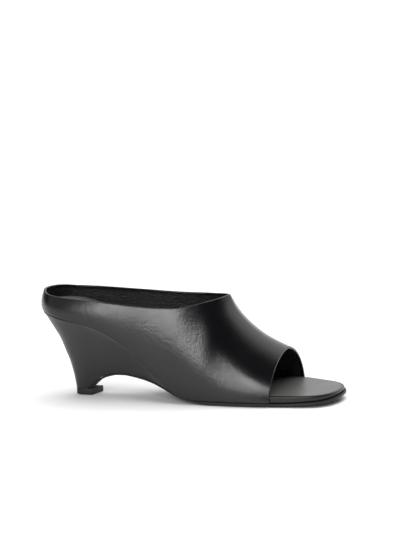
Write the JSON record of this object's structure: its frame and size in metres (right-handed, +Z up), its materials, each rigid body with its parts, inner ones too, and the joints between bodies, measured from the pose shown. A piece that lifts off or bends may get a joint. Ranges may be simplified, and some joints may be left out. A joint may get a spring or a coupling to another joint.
{
  "type": "peep toe mule",
  "caption": "Peep toe mule for the right foot: a smooth leather upper with a low collar on a leather-covered wedge heel with an arched cut-out.",
  "frame": {"origin": "middle of the shoe's length and width, on the floor it stands on", "axes": "+X from heel to toe, +Y towards the inner side of the foot, +Z up"},
  "size_m": [0.2403, 0.0804, 0.0846],
  "materials": {
    "upper_leather": "smooth dark grey nappa with a soft sheen",
    "insole_leather": "satin dark grey leather",
    "sock_leather": "matt grey lining leather",
    "sole_rubber": "matt black sole",
    "wedge_leather": "satin dark grey leather",
    "top_piece_rubber": "matt black heel tip"
  },
  "bodies": {
    "root": {"upper": "upper_leather", "insole": "insole_leather", "sock_lining": "sock_leather", "outsole": "sole_rubber", "wedge_heel": "wedge_leather", "top_piece": "top_piece_rubber"}
  },
  "joints": []
}
